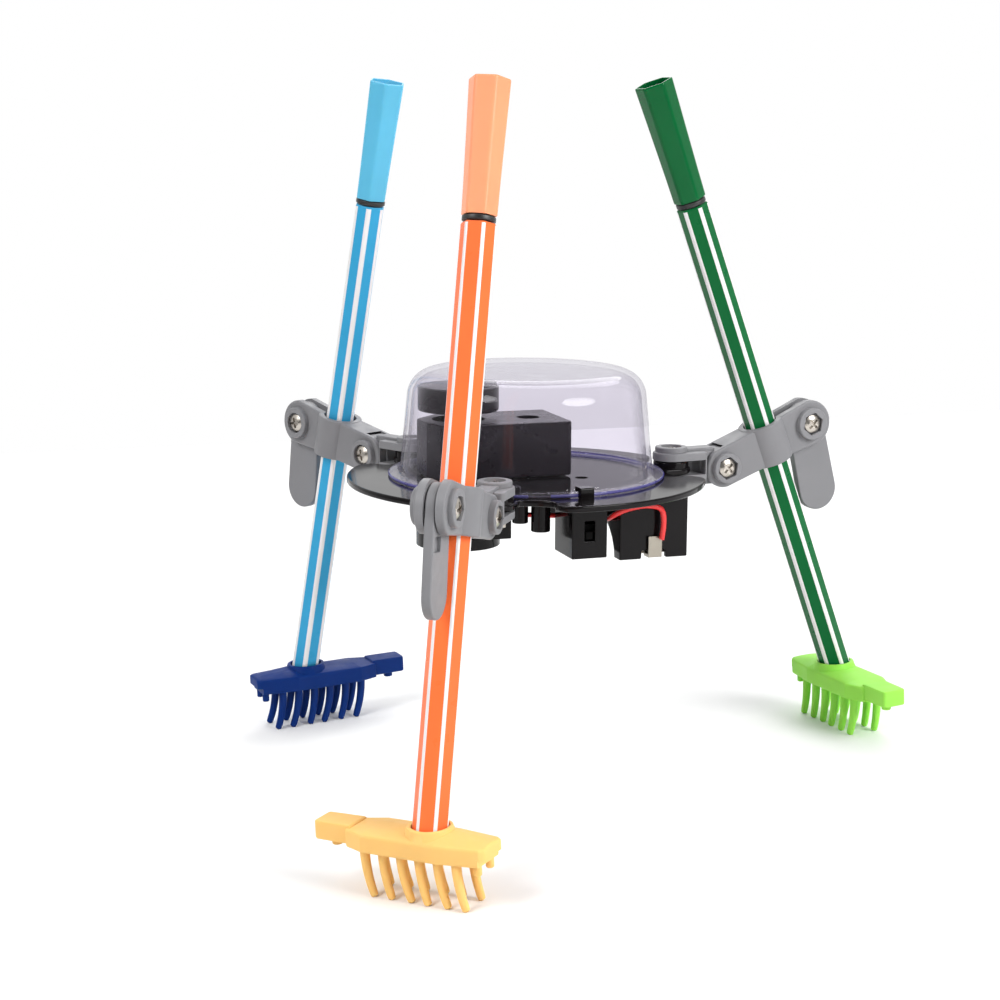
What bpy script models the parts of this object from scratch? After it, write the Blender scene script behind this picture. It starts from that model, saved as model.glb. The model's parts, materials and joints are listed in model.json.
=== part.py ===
"""Three-legged vibrating drawing robot, standing on its bristle feet.

Units are metres, +Z is up and the bristle tips rest on Z = 0. The chassis frame has
its origin in the middle of the arm hinges, its front arm along -Y, and leans a little,
because the three pens are held at different heights.
"""
import math

import bmesh
import bpy
from mathutils import Matrix, Vector

MM = 0.001

# ---- driving dimensions -------------------------------------------------------------
CHASSIS_CENTRE = (-0.0079, 0.0120)            # dome axis, seen from above
CHASSIS_HEIGHT = 75.4 * MM                   # arm hinge plane above the ground
CHASSIS_LEAN = (-0.93, 2.72, -11.15)         # degrees about X, Y and Z
BAY_TURN = 30.0                              # motor and battery sit square to the right arm

PLATE_TOP, PLATE_BOTTOM = 0.6 * MM, -0.9 * MM
LOBE_R = 43.5 * MM
TAB_R = 4.8 * MM
SWIVEL_R = 38.2 * MM                         # swivel pins, from the dome axis
NOTCH_HALF, NOTCH_DEPTH = 4.4 * MM, 1.9 * MM
CORNER_R = 3.8 * MM

DOME_TOP = 25.8 * MM
DOME_WALL = 1.2 * MM
FLANGE_R, FLANGE_Z = 33.2 * MM, (0.95 * MM, 2.15 * MM)

MOTOR_AXIS = (-15.9 * MM, 4.5 * MM)          # in the bay frame
MOTOR_R, MOTOR_Z = 8.5 * MM, (-12.0 * MM, 11.2 * MM)
SHAFT_R = 1.0 * MM
DISC_R, DISC_Z = 9.8 * MM, (15.6 * MM, 21.6 * MM)
SLUG_R, SLUG_OFFSET = 4.2 * MM, 5.0 * MM
HOUSING_TOP = 14.2 * MM

BOX_A = (14.3 * MM, 31.5 * MM)               # battery box, across the cell
BOX_B = (-26.2 * MM, 29.5 * MM)              # battery box, along the cell
BOX_Z = (-16.4 * MM, -1.2 * MM)
SWITCH_A, SWITCH_B = (3.1 * MM, 11.9 * MM), (-24.1 * MM, -12.1 * MM)
SWITCH_BOTTOM = -16.0 * MM

TILT_X = 13.5 * MM                           # swivel pin to tilt pin
PEN_X = 14.8 * MM                            # tilt pin to pen axis
LEVER_X = 26.8 * MM                          # tilt pin to lever pin
CLAMP_H = 10.5 * MM
LEVER_LENGTH, LEVER_W, LEVER_T = 23.5 * MM, 10.8 * MM, 2.2 * MM
LEVER_REST = 7.0                             # degrees, tongue turned in towards the pen

PEN_R = 4.05 * MM                            # across the hexagon's corners, halved
PEN_VISIBLE, CAP_SHARE = 160.0 * MM, 0.186
FOOT_TOP, BAR_Z = 16.0 * MM, (10.4 * MM, 14.4 * MM)
HEAD_X, TAIL_X, FOOT_WIDTH = -27.5 * MM, 15.0 * MM, 12.0 * MM
BRISTLE_R, BRISTLES, BRISTLE_PITCH = 1.0 * MM, 6, 4.5 * MM

# name, arm direction on the plate, arm swing, pen lean, foot turn, hexagon turn, screw side
LEGS = (
    ("orange", -90.0, -5.8, 14.4, 87.7, 35.0, 1),
    ("blue", 150.0, -1.3, 12.0, 57.0, 13.0, 1),
    ("green", 30.0, 5.9, 21.1, 87.0, 30.0, -1),
)

COLOURS = {
    "black": ((0.012, 0.012, 0.014), 0.18, 0.0),
    "clear": ((0.80, 0.82, 0.95), 0.05, 0.0),
    "grey": ((0.31, 0.31, 0.32), 0.45, 0.0),
    "steel": ((0.62, 0.60, 0.57), 0.25, 1.0),
    "red": ((0.75, 0.03, 0.03), 0.4, 0.0),
    "wire_black": ((0.02, 0.02, 0.02), 0.4, 0.0),
    "orange": ((1.0, 0.26, 0.10), 0.35, 0.0),
    "blue": ((0.03, 0.40, 0.75), 0.35, 0.0),
    "green": ((0.0, 0.16, 0.05), 0.35, 0.0),
    "orange_foot": ((0.95, 0.50, 0.03), 0.55, 0.0),
    "blue_foot": ((0.01, 0.04, 0.25), 0.55, 0.0),
    "green_foot": ((0.30, 0.80, 0.03), 0.55, 0.0),
}


# ---- scene helpers ------------------------------------------------------------------
def clear_scene():
    for obj in list(bpy.data.objects):
        bpy.data.objects.remove(obj, do_unlink=True)


def make_collection(name):
    coll = bpy.data.collections.new(name)
    bpy.context.scene.collection.children.link(coll)
    return coll


def make_materials():
    mats = {}
    for name, (colour, roughness, metallic) in COLOURS.items():
        mat = bpy.data.materials.new(name)
        mat.use_nodes = True
        shader = mat.node_tree.nodes["Principled BSDF"]
        shader.inputs["Base Color"].default_value = (*colour, 1.0)
        shader.inputs["Roughness"].default_value = roughness
        shader.inputs["Metallic"].default_value = metallic
        mats[name] = mat
    return mats


clear_scene()
PARTS = make_collection("drawing_robot")
CUTTERS = make_collection("cutters")
MATERIALS = make_materials()
WORLD = {}                                   # each frame's matrix in the world


def make_frame(name, parent, local):
    """An empty whose matrix is local, seen from its parent empty."""
    empty = bpy.data.objects.new(name, None)
    empty.empty_display_size = 0.01
    PARTS.objects.link(empty)
    empty.parent = parent
    empty.matrix_basis = local
    WORLD[name] = WORLD[parent.name] @ local if parent else local
    return empty


def turn(axis, degrees):
    return Matrix.Rotation(math.radians(degrees), 4, axis)


def shift(x=0.0, y=0.0, z=0.0):
    return Matrix.Translation((x, y, z))


def place(name, mesh, parent, material=None, cutter=False):
    """Link one object to its frame, as a part or as a cutter."""
    obj = bpy.data.objects.new(name, mesh)
    (CUTTERS if cutter else PARTS).objects.link(obj)
    obj.parent = parent
    if cutter:
        obj.hide_render = True
        obj.display_type = "WIRE"
    else:
        mesh.materials.append(MATERIALS[material])
        mesh.shade_smooth()
        mesh.set_sharp_from_angle(angle=math.radians(35))
    return obj


def to_mesh(bm, name):
    mesh = bpy.data.meshes.new(name)
    bm.to_mesh(mesh)
    bm.free()
    return mesh


# ---- solids -------------------------------------------------------------------------
def add_cylinder(bm, radius, low, high, matrix=None, segments=20, top_radius=None):
    """A cylinder or cone along local Z, from low to high."""
    middle = shift(z=(low + high) / 2)
    bmesh.ops.create_cone(
        bm, cap_ends=True, segments=segments, radius1=radius,
        radius2=radius if top_radius is None else top_radius,
        depth=high - low, matrix=(matrix or Matrix()) @ middle)


def add_box(bm, xs, ys, zs, matrix=None):
    centre = shift(sum(xs) / 2, sum(ys) / 2, sum(zs) / 2)
    size = Matrix.Diagonal((xs[1] - xs[0], ys[1] - ys[0], zs[1] - zs[0], 1.0))
    bmesh.ops.create_cube(bm, size=1.0, matrix=(matrix or Matrix()) @ centre @ size)


def mesh_of(name, *adders):
    bm = bmesh.new()
    for add in adders:
        add(bm)
    return to_mesh(bm, name)


def outline_mesh(name, points, low, high, matrix=None):
    """A flat outline given thickness from low to high, welded into one closed mesh."""
    curve = bpy.data.curves.new(name, "CURVE")
    curve.dimensions = "2D"
    curve.fill_mode = "BOTH"
    curve.extrude = (high - low) / 2
    spline = curve.splines.new("POLY")
    spline.points.add(len(points) - 1)
    for point, (x, y) in zip(spline.points, points):
        point.co = (x, y, 0.0, 1.0)
    spline.use_cyclic_u = True
    return curve_mesh(curve, (matrix or Matrix()) @ shift(z=(low + high) / 2))


def curve_mesh(curve, matrix=None):
    """A curve's evaluated mesh with its caps welded, and the curve removed."""
    guide = bpy.data.objects.new(curve.name, curve)
    CUTTERS.objects.link(guide)
    graph = bpy.context.evaluated_depsgraph_get()
    mesh = bpy.data.meshes.new_from_object(guide.evaluated_get(graph))
    bpy.data.objects.remove(guide)
    bm = bmesh.new()
    bm.from_mesh(mesh)
    bmesh.ops.remove_doubles(bm, verts=bm.verts, dist=1e-6)
    bmesh.ops.transform(bm, matrix=matrix or Matrix(), verts=bm.verts)
    bm.to_mesh(mesh)
    bm.free()
    mesh.materials.clear()
    return mesh


def boolean(obj, mesh, operation):
    """Cut or join one solid with another that shares its frame."""
    cutter = place(f"{obj.name}_{operation.lower()}_{len(obj.modifiers)}", mesh,
                   obj.parent, cutter=True)
    mod = obj.modifiers.new(cutter.name, "BOOLEAN")
    mod.operation = operation
    mod.solver = "EXACT"
    mod.object = cutter


def cut(obj, *adders):
    for add in adders:
        boolean(obj, mesh_of("cut", add), "DIFFERENCE")


def join(obj, *adders):
    for add in adders:
        boolean(obj, mesh_of("join", add), "UNION")


def cyl(radius, low, high, matrix=None, segments=20, top_radius=None):
    return lambda bm: add_cylinder(bm, radius, low, high, matrix, segments, top_radius)


def box(xs, ys, zs, matrix=None):
    return lambda bm: add_box(bm, xs, ys, zs, matrix)


def arc(centre, radius, start, end, steps, squash=1.0):
    """Points on an arc, angles in degrees; squash flattens it along Y."""
    span = [math.radians(start + (end - start) * i / steps) for i in range(steps + 1)]
    return [(centre[0] + radius * math.cos(t), centre[1] + squash * radius * math.sin(t))
            for t in span]


def turned(name, profile, parent, material, steps=48):
    """A profile of (radius, height) points, outer side top to bottom, spun about Z."""
    mesh = bpy.data.meshes.new(name)
    edges = [(i, i + 1) for i in range(len(profile) - 1)]
    if profile[0][0] > 0 or profile[-1][0] > 0:
        edges.append((len(profile) - 1, 0))
    mesh.from_pydata([(r, 0.0, z) for r, z in profile], edges, [])
    obj = place(name, mesh, parent, material)
    mod = obj.modifiers.new("Screw", "SCREW")
    mod.steps = steps
    mod.render_steps = steps
    mod.use_merge_vertices = True
    mod.merge_threshold = 0.00001
    return obj


def wire(name, points, radius, parent, material):
    """A POLY tube through a smooth curve that passes the route's own points."""
    curve = bpy.data.curves.new(name, "CURVE")
    curve.dimensions = "3D"
    curve.bevel_depth = radius
    curve.bevel_resolution = 2
    curve.use_fill_caps = True
    smooth = smooth_route([Vector(p) for p in points])
    spline = curve.splines.new("POLY")
    spline.points.add(len(smooth) - 1)
    for point, co in zip(spline.points, smooth):
        point.co = (*co, 1.0)
    return place(name, curve_mesh(curve), parent, material)


def smooth_route(points, per_span=3):
    """Catmull-Rom points through a route chosen by hand."""
    ends = [2 * points[0] - points[1], *points, 2 * points[-1] - points[-2]]
    route = []
    for i in range(1, len(ends) - 2):
        p0, p1, p2, p3 = ends[i - 1:i + 3]
        for k in range(per_span):
            t = k / per_span
            route.append(0.5 * ((2 * p1) + (p2 - p0) * t + (2 * p0 - 5 * p1 + 4 * p2 - p3) * t * t
                                + (3 * p1 - p0 - 3 * p2 + p3) * t ** 3))
    route.append(points[-1])
    return route


# ---- chassis ------------------------------------------------------------------------
def plate_outline():
    """Three round lobes with a notched pin tab between each pair."""
    corner_s = TAB_R + 2 * NOTCH_HALF + CORNER_R
    corner_r = math.sqrt((LOBE_R - CORNER_R) ** 2 - corner_s ** 2)
    tangent = math.degrees(math.atan2(corner_r, corner_s))
    notch_s = TAB_R + NOTCH_HALF
    half = arc((0.0, SWIVEL_R), TAB_R, 90, 0, 5)
    half += arc((notch_s, corner_r), NOTCH_HALF, 180, 360, 6, NOTCH_DEPTH / NOTCH_HALF)[1:-1]
    half += arc((corner_s, corner_r), CORNER_R, 180, tangent, 4)
    lobe_end = 30.0
    half += arc((0.0, 0.0), LOBE_R, tangent, lobe_end, 4)[1:]
    mirrored = [(-x, y) for x, y in reversed(half[1:-1])]
    sector = mirrored + half
    points = []
    for k in range(3):
        angle = math.radians(-120.0 * k)
        c, s = math.cos(angle), math.sin(angle)
        points += [(c * x - s * y, s * x + c * y) for x, y in sector]
    return [(-x, -y) for x, y in points]


def clip_profile():
    """Side view of a hook over the dome's flange, radius against height."""
    post_in, post_out, nose = 33.7 * MM, 35.5 * MM, 31.9 * MM
    hook_low, hook_high, root = 2.6 * MM, 4.6 * MM, PLATE_TOP - 0.4 * MM
    return [(post_in, root), (post_out, root), (post_out, hook_high), (nose, hook_high),
            (nose, hook_low), (post_in, hook_low)]


def build_plate(chassis):
    plate = place("chassis_plate", outline_mesh("chassis_plate", plate_outline(),
                                                PLATE_BOTTOM, PLATE_TOP), chassis, "black")
    bay_turn = turn("Z", BAY_TURN)
    for angle in (304.0, 124.0):
        boolean(plate, outline_mesh("clip", clip_profile(), -1.8 * MM, 1.8 * MM,
                                    turn("Z", angle) @ turn("X", 90)), "UNION")
    posts = (((-6.2 * MM, -13.7 * MM), 1.9 * MM, -8.5 * MM),
             ((-1.6 * MM, -15.2 * MM), 2.3 * MM, -10.5 * MM),
             ((2.0 * MM, 24.0 * MM), 2.3 * MM, -9.0 * MM),
             ((-23.0 * MM, -12.0 * MM), 2.3 * MM, -9.0 * MM))
    for (x, y), radius, bottom in posts:
        join(plate, cyl(radius, bottom, PLATE_BOTTOM + 0.4 * MM, bay_turn @ shift(x, y), 12))
    cut(plate, cyl(MOTOR_R + 0.4 * MM, -3 * MM, 3 * MM, bay_turn @ shift(*MOTOR_AXIS), 28))
    for _, base, *_ in LEGS:
        at = turn("Z", base) @ shift(SWIVEL_R)
        join(plate, cyl(3.3 * MM, PLATE_TOP - 0.4 * MM, 2.15 * MM, at, 16))
        cut(plate, cyl(1.7 * MM, -3 * MM, 3 * MM, at, 12))
    cut(plate, cyl(1.6 * MM, -3 * MM, 3 * MM, shift(14.0 * MM, -2.0 * MM), 12))
    return plate


def build_dome(chassis):
    """Clear cover: a flange, a slightly tapered wall and a well-rounded top edge."""
    wall_base, wall_top, edge_r = 30.0 * MM, 28.0 * MM, 5.0 * MM
    low, high = FLANGE_Z
    outer = [(0.0, DOME_TOP)]
    outer += arc((wall_top - edge_r, DOME_TOP - edge_r), edge_r, 90, 4, 5)
    outer += [(wall_base - 0.2 * MM, high + 1.2 * MM), (wall_base + 0.9 * MM, high),
              (FLANGE_R, high), (FLANGE_R, low)]
    inner_r = edge_r - DOME_WALL
    inner = [(wall_base - DOME_WALL, low), (wall_base - DOME_WALL - 0.15 * MM, high + 1.2 * MM)]
    inner += arc((wall_top - edge_r, DOME_TOP - edge_r), inner_r, 4, 90, 4)
    inner += [(0.0, DOME_TOP - DOME_WALL)]
    dome = turned("dome_cover", outer + inner, chassis, "clear", steps=32)
    finger_tab = turn("Z", 275.0)
    join(dome, box((30.0 * MM, 31.6 * MM), (-1.8 * MM, 1.8 * MM), (high - 0.3 * MM, high + 2.0 * MM),
                   finger_tab))
    for angle in (286.0, 106.0):
        cut(dome, box((32.0 * MM, 35.0 * MM), (-2.6 * MM, 2.6 * MM), (low - MM, high + MM),
                      turn("Z", angle)))
    return dome


def build_motor(bay):
    """Round can, its bearing boss, and the shaft that carries the weight."""
    axis = make_frame("motor_axis", bay, shift(*MOTOR_AXIS))
    low, high = MOTOR_Z
    boss_r, boss_top, hole_r, hole_low = 3.0 * MM, 12.4 * MM, 1.3 * MM, 2.0 * MM
    turned("motor_can", [(0.0, hole_low), (hole_r, hole_low), (hole_r, boss_top),
                         (boss_r, boss_top), (boss_r, high), (MOTOR_R, high),
                         (MOTOR_R, low), (0.0, low)], axis, "steel", steps=24)
    place("motor_shaft", mesh_of("motor_shaft", cyl(SHAFT_R, 2.3 * MM, 19.0 * MM, segments=12)),
          axis, "steel")
    disc = place("weight_disc", mesh_of("weight_disc", cyl(DISC_R, *DISC_Z, segments=32)),
                 axis, "black")
    cut(disc, cyl(1.3 * MM, DISC_Z[0] - MM, 19.3 * MM, segments=12))
    slug_at = turn("Z", -19.0) @ shift(SLUG_OFFSET)
    cut(disc, cyl(SLUG_R + 0.3 * MM, 19.8 * MM, DISC_Z[1] + MM, slug_at, 20))
    place("weight_slug", mesh_of("weight_slug", cyl(SLUG_R, 20.1 * MM, 22.6 * MM, slug_at, 20)),
          axis, "steel")


def build_motor_housing(bay):
    """Chamfered block over the motor, open round the shaft, with a sunk screw."""
    outline = [(9.5, -6.3), (9.5, 14.3), (-19.0, 14.3), (-25.2, 8.5), (-25.2, 0.0), (-23.4, -6.3)]
    low = PLATE_TOP + 0.3 * MM
    housing = place("motor_housing",
                    outline_mesh("motor_housing", [(x * MM, y * MM) for x, y in outline],
                                 low, HOUSING_TOP), bay, "black")
    cut(housing, cyl(MOTOR_R + 0.3 * MM, low - MM, 11.6 * MM, shift(*MOTOR_AXIS), 28))
    cut(housing, cyl(6.4 * MM, 11.0 * MM, HOUSING_TOP + MM, shift(*MOTOR_AXIS), 24))
    cut(housing, box((-2.0 * MM, 8.0 * MM), (5.6 * MM, 12.8 * MM), (low - MM, 11.6 * MM)))
    screw_at = shift(1.3 * MM, 2.4 * MM)
    cut(housing, cyl(2.8 * MM, 10.2 * MM, HOUSING_TOP + MM, screw_at, 16))
    cut(housing, cyl(1.5 * MM, low - MM, 11.0 * MM, screw_at, 12))
    build_screw("housing_screw", bay, screw_at @ shift(z=11.9 * MM), 2.4 * MM, 1.4 * MM,
                1.2 * MM, 10.0 * MM)


def build_screw(name, parent, matrix, head_r, head_h, shank_r, shank_len):
    """A pan-head screw: the head's top is at +Z * head_h / 2, the shank runs down -Z."""
    screw = place(name, mesh_of(name, cyl(head_r, -head_h / 2, head_h / 2, matrix, 12)),
                  parent, "steel")
    join(screw, cyl(shank_r, -head_h / 2 - shank_len, 0.0, matrix, 8))
    return screw


def build_motor_cup(bay):
    """Round cup below the plate round the motor's tail, with a terminal box beside it."""
    x, y = MOTOR_AXIS
    top, bottom = PLATE_BOTTOM - 0.3 * MM, -16.5 * MM
    cup = place("motor_cup", mesh_of("motor_cup", cyl(10.3 * MM, bottom, top, shift(x, y), 28)),
                bay, "black")
    join(cup, box((x, -6.4 * MM), (-8.0 * MM, y), (-13.5 * MM, top)))
    cut(cup, cyl(MOTOR_R + 0.4 * MM, bottom + 1.4 * MM, top + MM, shift(x, y), 28))
    cut(cup, box((-12.0 * MM, -7.6 * MM), (-6.8 * MM, -4.4 * MM), (-12.3 * MM, top + MM)))
    cut(cup, box((-8.6 * MM, -5.4 * MM), (-6.0 * MM, -3.4 * MM), (-9.0 * MM, -6.5 * MM)))


def build_battery_box(bay):
    """Open-bottomed holder for one AA cell, arched side walls, one wall notched."""
    wall = 1.3 * MM
    middle_a = sum(BOX_A) / 2
    middle_b = sum(BOX_B) / 2
    holder = place("battery_box", mesh_of("battery_box", box(BOX_A, BOX_B, BOX_Z)), bay, "black")
    cut(holder, box((BOX_A[0] + 1.2 * MM, BOX_A[1] - 1.2 * MM), (BOX_B[0] + wall, BOX_B[1] - wall),
                    (BOX_Z[0] - MM, BOX_Z[1] - 1.2 * MM)))
    arch = shift(middle_a, middle_b, BOX_Z[0]) @ turn("Y", 90) @ Matrix.Diagonal((0.52, 1, 1, 1))
    cut(holder, cyl(24.0 * MM, -10 * MM, 10 * MM, arch, 36))
    for end in BOX_B:
        cut(holder, box((middle_a - 3.1 * MM, middle_a + 3.1 * MM), (end - 2 * MM, end + 2 * MM),
                        (BOX_Z[0] - MM, BOX_Z[0] + 2.0 * MM)))
    build_contacts(bay, middle_a, wall)


def build_contacts(bay, middle_a, wall):
    """Sprung steel strips folded round the end walls, and the coil at the rear one."""
    thick, inside, outside = 0.5 * MM, 0.35 * MM, 0.35 * MM
    under = BOX_Z[0] + 0.9 * MM
    for name, end, sign in (("contact_front", BOX_B[0], 1.0), ("contact_rear", BOX_B[1], -1.0)):
        inner = end + sign * (wall + inside)
        outer = end - sign * outside
        strip = place(name, mesh_of(name, box((middle_a - 4.5 * MM, middle_a + 4.5 * MM),
                                              sorted((inner, inner + sign * thick)),
                                              (under + 0.1 * MM, -5.0 * MM))), bay, "steel")
        join(strip, box((middle_a - 1.7 * MM, middle_a + 1.7 * MM),
                        sorted((inner + sign * thick, outer - sign * thick)),
                        (under - thick, under + 0.3 * MM)))
        join(strip, box((middle_a - 1.7 * MM, middle_a + 1.7 * MM),
                        sorted((outer, outer - sign * thick)), (under - 0.1 * MM, -11.0 * MM)))
    coil_z = -9.9 * MM
    base = BOX_B[1] - wall - inside - thick - 0.3 * MM
    turns, per_turn = 3, 8
    coil = []
    for i in range(turns * per_turn + 1):
        t = i / (turns * per_turn)
        angle = 2 * math.pi * i / per_turn
        radius = (4.0 - 2.0 * t) * MM
        coil.append((middle_a + radius * math.cos(angle), base - 0.4 * MM - 4.0 * MM * t,
                     coil_z + radius * math.sin(angle)))
    curve = bpy.data.curves.new("contact_spring", "CURVE")
    curve.dimensions = "3D"
    curve.bevel_depth = 0.35 * MM
    curve.bevel_resolution = 0
    curve.use_fill_caps = True
    spline = curve.splines.new("POLY")
    spline.points.add(len(coil) - 1)
    for point, co in zip(spline.points, coil):
        point.co = (*co, 1.0)
    place("contact_spring", curve_mesh(curve), bay, "steel")


def build_switch(bay):
    """Square post with a slot in its front wall; the slider's thumb shows in the slot."""
    middle_a = sum(SWITCH_A) / 2
    top = PLATE_BOTTOM - 0.3 * MM
    post = place("switch_housing", mesh_of("switch_housing",
                                           box(SWITCH_A, SWITCH_B, (SWITCH_BOTTOM, top))),
                 bay, "black")
    slot_z = (-11.8 * MM, -7.0 * MM)
    front = SWITCH_B[0]
    cut(post, box((middle_a - 1.3 * MM, middle_a + 1.3 * MM), (front - MM, front + 3.0 * MM), slot_z))
    cut(post, box((middle_a - 3.0 * MM, middle_a + 3.0 * MM), (front + 1.4 * MM, SWITCH_B[1] - 1.4 * MM),
                  (-13.4 * MM, top + MM)))
    slider = place("switch_slider", mesh_of("switch_slider",
                                            box((middle_a - 2.6 * MM, middle_a + 2.6 * MM),
                                                (front + 1.7 * MM, front + 4.2 * MM),
                                                (-13.1 * MM, -8.0 * MM))), bay, "black")
    join(slider, box((middle_a - 0.95 * MM, middle_a + 0.95 * MM), (front + 0.4 * MM, front + 2.2 * MM),
                     (-11.5 * MM, -9.6 * MM)))


def build_wires(bay):
    """Insulated leads clipped under the plate, from the contacts to switch and motor."""
    middle_a = sum(BOX_A) / 2
    front = BOX_B[0] - 1.7 * MM
    red = [(middle_a + 1.2 * MM, front, -11.6 * MM), (middle_a + 1.6 * MM, front - 0.2 * MM, -7.5 * MM),
           (middle_a + 0.8 * MM, front - 0.3 * MM, -4.2 * MM),
           (middle_a - 3.0 * MM, front - 0.4 * MM, -3.2 * MM), (15.5 * MM, front, -3.8 * MM),
           (13.3 * MM, -25.6 * MM, -5.4 * MM), (13.1 * MM, -20.0 * MM, -7.6 * MM),
           (13.1 * MM, -11.6 * MM, -8.4 * MM), (11.0 * MM, -9.9 * MM, -8.4 * MM),
           (4.0 * MM, -10.2 * MM, -8.0 * MM), (-1.0 * MM, -10.2 * MM, -7.6 * MM),
           (-6.0 * MM, -8.9 * MM, -7.4 * MM)]
    wire("wire_red", red, 0.65 * MM, bay, "red")
    rear = BOX_B[1] + 1.7 * MM
    black = [(middle_a, rear, -11.6 * MM), (middle_a - 0.5 * MM, rear + 0.3 * MM, -6.5 * MM),
             (middle_a - 4.0 * MM, rear + 0.4 * MM, -3.4 * MM),
             (14.2 * MM, rear + 0.4 * MM, -3.0 * MM), (11.8 * MM, 28.0 * MM, -3.0 * MM),
             (10.0 * MM, 21.0 * MM, -3.0 * MM), (5.0 * MM, 13.0 * MM, -3.0 * MM),
             (-1.0 * MM, 6.0 * MM, -3.4 * MM), (-3.6 * MM, 0.0 * MM, -5.0 * MM),
             (-5.0 * MM, -4.6 * MM, -7.4 * MM)]
    wire("wire_black", black, 0.65 * MM, bay, "wire_black")


# ---- legs ---------------------------------------------------------------------------
def build_arm(name, arm):
    """Fork over the plate's tab, then a tongue between the clamp's lugs."""
    ear_r, root_x, half_w = 4.6 * MM, 7.9 * MM, 4.6 * MM
    low, slot_low, slot_high, high = -3.1 * MM, -1.2 * MM, 2.45 * MM, 4.4 * MM
    outline = arc((0.0, 0.0), ear_r, 90, 270, 10) + [(root_x, -half_w), (root_x, half_w)]
    body = place(f"{name}_arm", outline_mesh(f"{name}_arm", outline, low, high), arm, "grey")
    across = turn("X", 90)
    join(body, cyl(3.7 * MM, high - 0.4 * MM, high + 1.3 * MM, segments=16))
    cut(body, box((-9 * MM, 6.4 * MM), (-9 * MM, 9 * MM), (slot_low, slot_high)))
    join(body, box((7.2 * MM, TILT_X), (-2.3 * MM, 2.3 * MM), (-4.2 * MM, 4.2 * MM)))
    join(body, cyl(4.8 * MM, -2.3 * MM, 2.3 * MM, shift(TILT_X) @ across, 20))
    cut(body, cyl(1.7 * MM, -6 * MM, 6 * MM, segments=10))
    cut(body, cyl(2.3 * MM, high - 0.8 * MM, high + 3 * MM, segments=12))
    cut(body, cyl(1.6 * MM, -4 * MM, 4 * MM, shift(TILT_X) @ across, 10))
    build_screw(f"{name}_swivel_screw", arm, shift(z=high + 0.2 * MM), 2.0 * MM, 1.4 * MM,
                1.4 * MM, 8.6 * MM)
    build_nut(f"{name}_swivel_nut", arm, shift(z=low - 1.1 * MM), 2.7 * MM)


def build_nut(name, parent, matrix, radius):
    nut = place(name, mesh_of(name, cyl(radius, -0.8 * MM, 0.8 * MM, matrix, 6)), parent, "steel")
    cut(nut, cyl(1.65 * MM, -2 * MM, 2 * MM, matrix, 10))
    return nut


def build_clamp(name, clamp, side):
    """Split strap round the pen, with lugs for the arm and ears for the lever."""
    across = turn("X", 90)
    half_h, lug_y, ear_y = CLAMP_H / 2, 4.6 * MM, 3.6 * MM
    tilt_boss, lever_boss = 5.4 * MM, 4.8 * MM
    pen, lever = shift(PEN_X), shift(LEVER_X)
    body = place(f"{name}_clamp", mesh_of(f"{name}_clamp",
                                          cyl(5.7 * MM, -half_h, half_h, pen, 24)), clamp, "grey")
    join(body, box((0.0, PEN_X), (-lug_y, lug_y), (-4.8 * MM, 4.8 * MM)),
         cyl(5.1 * MM, -lug_y, lug_y, across, 20),
         box((PEN_X - MM, LEVER_X), (-ear_y, ear_y), (-4.9 * MM, 4.9 * MM)),
         cyl(6.0 * MM, -ear_y, ear_y, lever @ across, 20),
         cyl(3.1 * MM, -tilt_boss, tilt_boss, across, 14),
         cyl(4.1 * MM, -lever_boss, lever_boss, lever @ across, 16))
    cut(body, cyl(4.3 * MM, -9 * MM, 9 * MM, pen, 20),
        cyl(5.4 * MM, -2.65 * MM, 2.65 * MM, across, 20),
        box((-7 * MM, 0.0), (-2.65 * MM, 2.65 * MM), (-7 * MM, 7 * MM)),
        box((PEN_X + 3 * MM, LEVER_X + 8 * MM), (-1.4 * MM, 1.4 * MM), (-8 * MM, 8 * MM)))
    for at, reach in ((Matrix(), tilt_boss), (lever, lever_boss)):
        cut(body, cyl(1.6 * MM, -7 * MM, 7 * MM, at @ across, 10))
        for sign in (1.0, -1.0):
            low, high = sorted((sign * (reach - 1.3 * MM), sign * (reach + MM)))
            cut(body, cyl(2.45 * MM, low, high, at @ across, 6))
    for pin, at, reach in (("tilt", Matrix(), tilt_boss), ("lever", lever, lever_boss)):
        head_at = at @ turn("X", -90 * side) @ shift(z=reach - 0.55 * MM)
        build_screw(f"{name}_{pin}_screw", clamp, head_at, 1.9 * MM, 0.9 * MM, 1.3 * MM,
                    2 * reach - 1.6 * MM)
        nut_at = at @ turn("X", 90 * side) @ shift(z=reach - 0.25 * MM)
        build_nut(f"{name}_{pin}_nut", clamp, nut_at, 2.1 * MM)


def build_lever(name, lever):
    """Flat cam tongue on the lever pin, hanging beside the pen."""
    half = LEVER_W / 2
    end = -(LEVER_LENGTH - half)
    outline = arc((0.0, 0.0), 5.2 * MM, 0, 180, 10) + arc((0.0, end), half, 180, 360, 10)
    flat = turn("X", 90)
    tongue = place(f"{name}_lever", outline_mesh(f"{name}_lever", outline, -LEVER_T / 2, LEVER_T / 2,
                                                 flat), lever, "grey")
    cut(tongue, cyl(1.65 * MM, -3 * MM, 3 * MM, flat, 10))


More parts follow.
